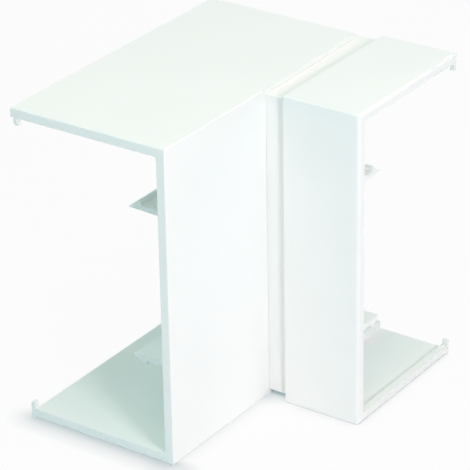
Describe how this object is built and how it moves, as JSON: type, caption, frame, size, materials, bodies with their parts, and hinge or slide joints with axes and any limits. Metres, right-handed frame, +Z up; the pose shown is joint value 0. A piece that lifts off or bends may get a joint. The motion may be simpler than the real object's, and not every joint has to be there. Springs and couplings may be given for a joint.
{
  "type": "trunking internal corner",
  "caption": "Adjustable internal corner cover for large wall trunking: two C-section hoods, one sliding under the other's corner plates and swinging a few degrees.",
  "frame": {"origin": "foot of the line where the two walls of the room meet, level with the underside of the lower flanges", "axes": "+Z up along the walls' corner, long arm along -Y on the wall X = 0, short arm along +X on the wall Y = 0"},
  "size_m": [0.119, 0.14, 0.138],
  "materials": {
    "body": "satin moulded"
  },
  "bodies": {
    "long_hood": {"long_hood": "body"},
    "short_hood": {"short_hood": "body"}
  },
  "joints": [
    {"name": "corner_swivel", "type": "hinge", "parent": "long_hood", "child": "short_hood", "pos_m": [0.074, -0.07165, 0.069], "axis": [0, 0, 1], "range_deg": [-5, 5]}
  ]
}
